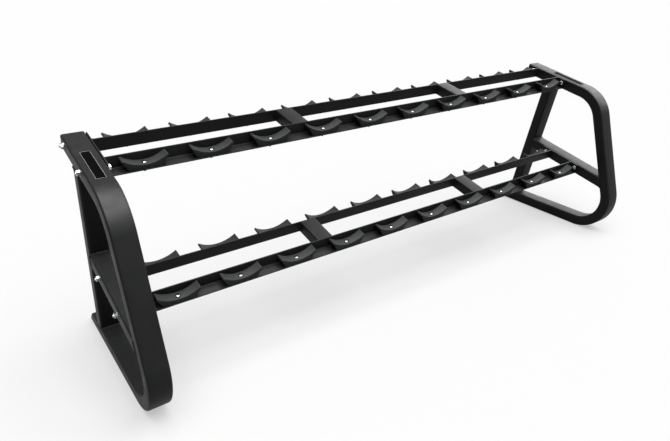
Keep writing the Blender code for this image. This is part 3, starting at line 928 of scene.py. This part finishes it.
def socket(work, across, top, bottom):
    """A hexagonal prism about Z; across is the distance over its flats."""
    corner = across / math.sqrt(3)
    outline = [(corner * math.cos(t), corner * math.sin(t)) for t in HEXAGON]
    prism(work, outline, bottom, top, lambda a, b, z: Vector((a, b, z)))


def nut(work, across, top, bottom):
    """A hexagonal nut whose corners are turned off at both faces."""
    corner = across / math.sqrt(3)
    face = NUT_FACE_SHARE * corner
    levels = ((top, face), (top - NUT_CHAMFER, corner), (bottom + NUT_CHAMFER, corner), (bottom, face))
    rings = []
    for level, radius in levels:
        ring = [(radius * math.cos(t), radius * math.sin(t), level) for t in HEXAGON]
        rings.append([work.verts.new(at) for at in ring])
    bridge(work, rings)


def washer(work, radius, top, bottom):
    """A washer with its edges broken."""
    inner = radius - WASHER_EDGE
    upper = [(0.0, top), (inner, top), (radius, top - WASHER_EDGE)]
    lower = [(radius, bottom + WASHER_EDGE), (inner, bottom), (0.0, bottom)]
    turned(work, upper + lower, ROUND_SIDES)


def moved(levels, start):
    """Levels that were measured from a start."""
    return [start + level for level in levels]


def saddle_screw_mesh(look):
    """Button head in the recess of the saddle; washer, nut and thread end below the ledge."""
    seat = SADDLE_BASE - RECESS_DEPTH
    head = [(radius, seat + height) for radius, height in SCREW_HEAD]
    crown = head[0][1]
    work = bmesh.new()
    turned(work, head, SCREW_HEAD_SIDES)
    obj = shown("saddle_screw", work, look)
    work = bmesh.new()
    socket(work, SCREW_SOCKET_ACROSS, crown + SCREW_SOCKET_ABOVE, crown - SCREW_SOCKET_DEPTH)
    mesh = cut(obj, shown("saddle_screw_socket", work, look))

    under = -RAIL_THICKNESS - 2 * GAP
    grooves = thread(SCREW_RADIUS, moved(SCREW_THREAD, under), SCREW_THREAD_PITCH, SCREW_THREAD_DEPTH)
    tip = under + SCREW_TIP
    work = bmesh.new()
    work.from_mesh(mesh)
    washer(work, SCREW_WASHER_RADIUS, *moved(SCREW_WASHER, under))
    nut(work, SCREW_NUT_ACROSS, *moved(SCREW_NUT, under))
    profile = [(0.0, under + SCREW_ROOT), *grooves, (SCREW_TIP_RADIUS, tip), (0.0, tip)]
    turned(work, profile, SCREW_SIDES)
    bmesh.ops.recalc_face_normals(work, faces=work.faces)
    work.to_mesh(mesh)
    work.free()
    mesh.materials.clear()
    mesh.materials.append(look)
    smooth(mesh)
    return mesh


def frame_bolt_mesh(look):
    """Nut and thread end outside the tube, hexagonal head inside, a washer under each."""
    inner = -TUBE_WIDTH - 3 * GAP - PLATE_THICKNESS - PLATE_INSET
    grooves = thread(BOLT_RADIUS, BOLT_THREAD, BOLT_THREAD_PITCH, BOLT_THREAD_DEPTH)
    profile = [(0.0, BOLT_END), (BOLT_END_RADIUS, BOLT_END), *grooves, (0.0, BOLT_THREAD[1])]
    work = bmesh.new()
    washer(work, BOLT_WASHER_RADIUS, *BOLT_WASHER)
    nut(work, BOLT_ACROSS, *BOLT_NUT)
    turned(work, profile, BOLT_SIDES)
    washer(work, BOLT_WASHER_RADIUS, *moved(BOLT_INNER_WASHER, inner))
    nut(work, BOLT_ACROSS, *moved(BOLT_HEAD, inner))
    return baked(shown("frame_bolt", work, look))


def saddle_rows(plastic, metal):
    """Every saddle with its screw, at the place of its CAD node along the rail."""
    shape = saddle_mesh(plastic)
    screw = saddle_screw_mesh(metal)
    level = RAIL_THICKNESS - RAIL_HEIGHT + GAP
    for tier in TIERS:
        for row_name, row in ROWS.items():
            y = row * (RAIL_GAP / 2 + SADDLE_OUTBOARD)
            for number in range(1, SADDLES_PER_ROW + 1):
                place = f"{tier}_{row_name}_{number:02d}"
                node = f"saddle_{place}"
                low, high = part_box(node)
                matrix = TIER[tier][0] @ Matrix.Translation(((low.x + high.x) / 2, y, level))
                stop = (number * SCREW_TURN_PER_NUMBER + SCREW_TURN_PER_ROW * row) % 60
                spin = Matrix.Rotation(math.radians(stop), 4, "Z")
                declared(placed(f"cradle_{place}", shape, matrix), "saddle", node)
                declared(placed(f"screw_{place}", screw, matrix @ spin), "fastener")


def frame_bolts(metal):
    """The bolts through the end plates and the tubes, each turned to its own angle."""
    shape = frame_bolt_mesh(metal)
    outer_x = FRAME_INNER_X + TUBE_WIDTH
    for side_name, side in SIDES.items():
        turn = Matrix.Rotation(side * math.radians(90), 4, "Y")
        for tier in TIERS:
            for row_name in ROWS:
                place = f"{tier}_{row_name}_{side_name}"
                node = f"bolt_{place}"
                low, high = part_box(node)
                stop = BOLT_TURN_PER_LETTER * len(node) + low.y * BOLT_TURN_PER_METRE
                spin = Matrix.Rotation(math.radians(stop), 4, "Z")
                at = Vector((side * outer_x, (low.y + high.y) / 2, (low.z + high.z) / 2))
                matrix = Matrix.Translation(at) @ turn @ spin
                declared(placed(f"fixing_{place}", shape, matrix), "fastener", node)


def badge(side_name, side, face, rim):
    """A blank plate with a raised rim, on the top tube just above its bend."""
    wide = BADGE_WIDTH
    long = BADGE_TO - BADGE_FROM
    middle = (BADGE_FROM + BADGE_TO) / 2
    matrix = TIER["upper"][0] @ Matrix.Translation((side * FRAME_MIDDLE_X, middle, 0.0))
    outer = rounded_rectangle(wide, long, BADGE_CORNER)
    work = bmesh.new()
    prism(work, outer, *BADGE_PLATE, lambda a, b, z: matrix @ Vector((a, b, z)))
    declared(shown(f"badge_plate_{side_name}", work, face), "cap")
    inset = BADGE_RIM_WIDTH
    inner = rounded_rectangle(wide - 2 * inset, long - 2 * inset, BADGE_INNER_CORNER)
    foot = BADGE_PLATE[1]
    levels = ((outer, foot), (outer, BADGE_RIM_TOP), (inner, BADGE_RIM_TOP), (inner, foot))
    work = bmesh.new()
    rings = [[work.verts.new(matrix @ Vector((a, b, z))) for a, b in line] for line, z in levels]
    bridge(work, rings, closed=True)
    declared(shown(f"badge_rim_{side_name}", work, rim), "fastener")


# ---------------------------------------------------------------- studio


def studio():
    """A pale floor, a pale surround and four soft lights: overhead, two from the right, one low in front.

    The floor glows less for reflections than for the camera, so that the paint stays dark.
    """
    look = Finish("studio_floor", (FLOOR_TONE, FLOOR_TONE, FLOOR_TONE), 0.9)
    look.shine(0.0)
    look.shader.inputs["Emission Color"].default_value = (1.0, 1.0, 1.0, 1.0)
    seen = look.nodes.new("ShaderNodeLightPath").outputs["Is Camera Ray"]
    glow = look.ranged(seen, FLOOR_DIM, FLOOR_GLOW, 0.0, 1.0)
    look.links.new(glow, look.shader.inputs["Emission Strength"])
    work = bmesh.new()
    bmesh.ops.create_grid(work, x_segments=1, y_segments=1, size=FLOOR_SIZE)
    floor = shown("studio_floor", work, look.material)
    floor.location.z = -FLOOR_DROP
    surround()
    for name, toward, strength, width in LIGHTS:
        sky_panel(name, toward, strength, width)


def surround():
    """Pale to the camera, dim to everything else."""
    world = bpy.data.worlds.new("studio")
    bpy.context.scene.world = world
    world.use_nodes = True
    tree = world.node_tree
    dim = tree.nodes["Background"]
    dim.inputs["Color"].default_value = (1.0, 1.0, 1.0, 1.0)
    dim.inputs["Strength"].default_value = WORLD
    pale = tree.nodes.new("ShaderNodeBackground")
    pale.inputs["Color"].default_value = (1.0, 1.0, 1.0, 1.0)
    pale.inputs["Strength"].default_value = BACKGROUND
    seen = tree.nodes.new("ShaderNodeLightPath")
    either = tree.nodes.new("ShaderNodeMixShader")
    tree.links.new(seen.outputs["Is Camera Ray"], either.inputs[0])
    tree.links.new(dim.outputs[0], either.inputs[1])
    tree.links.new(pale.outputs[0], either.inputs[2])
    tree.links.new(either.outputs[0], tree.nodes["World Output"].inputs["Surface"])


def sky_panel(name, toward, strength, width):
    """A soft light, as wide as the angle, that lies in the direction given."""
    light = bpy.data.lights.new(name, "SUN")
    light.energy = strength
    light.angle = math.radians(width)
    obj = bpy.data.objects.new(name, light)
    bpy.context.scene.collection.objects.link(obj)
    obj.rotation_euler = (-Vector(toward)).to_track_quat("-Z", "Y").to_euler()


def camera():
    """Three-quarter view from the front left, looking down at the rack."""
    yaw, pitch, roll = CAMERA_YAW, CAMERA_PITCH, CAMERA_ROLL
    level = math.cos(pitch)
    ahead = Vector((-math.sin(yaw) * level, math.cos(yaw) * level, math.sin(pitch)))
    right = Vector((math.cos(yaw), math.sin(yaw), 0.0))
    up = right.cross(ahead)
    tilted_right = right * math.cos(roll) + up * math.sin(roll)
    tilted_up = up * math.cos(roll) - right * math.sin(roll)
    data = bpy.data.cameras.new("camera")
    data.sensor_width = CAMERA_SENSOR
    data.lens = CAMERA_LENS
    obj = bpy.data.objects.new("camera", data)
    bpy.context.scene.collection.objects.link(obj)
    axes = Matrix((tilted_right, tilted_up, -ahead)).transposed().to_4x4()
    obj.matrix_world = Matrix.Translation(CAMERA_PLACE) @ axes
    bpy.context.scene.camera = obj


def main():
    coat = powder_coat()
    weld = weld_coat()
    plastic = saddle_plastic()
    metal = zinc("zinc_plate", (0.46, 0.47, 0.49), (0.68, 0.68, 0.67))
    worn_metal = zinc("worn_zinc_plate", (0.17, 0.175, 0.18), (0.28, 0.28, 0.275))
    plug = cap_plastic()
    face = badge_face()
    rim = badge_rim()
    for side_name, side in SIDES.items():
        end_frame(side_name, side, coat, weld)
        top = end_plug(f"plug_top_{side_name}", side, TOP_END, TOP_ALONG, TOP_ALONG, plug)
        declared(top, "cap", f"cap_top_{side_name}")
        base = end_plug(f"plug_base_{side_name}", side, BASE_END, REARWARD, MITRE_NORMAL, plug)
        declared(base, "cap", f"cap_base_{side_name}")
        badge(side_name, side, face, rim)
    for tier in TIERS:
        ladder(tier, coat, weld)
    saddle_rows(plastic, worn_metal)
    frame_bolts(metal)
    studio()
    camera()
    bpy.context.scene.view_settings.view_transform = "Standard"


main()
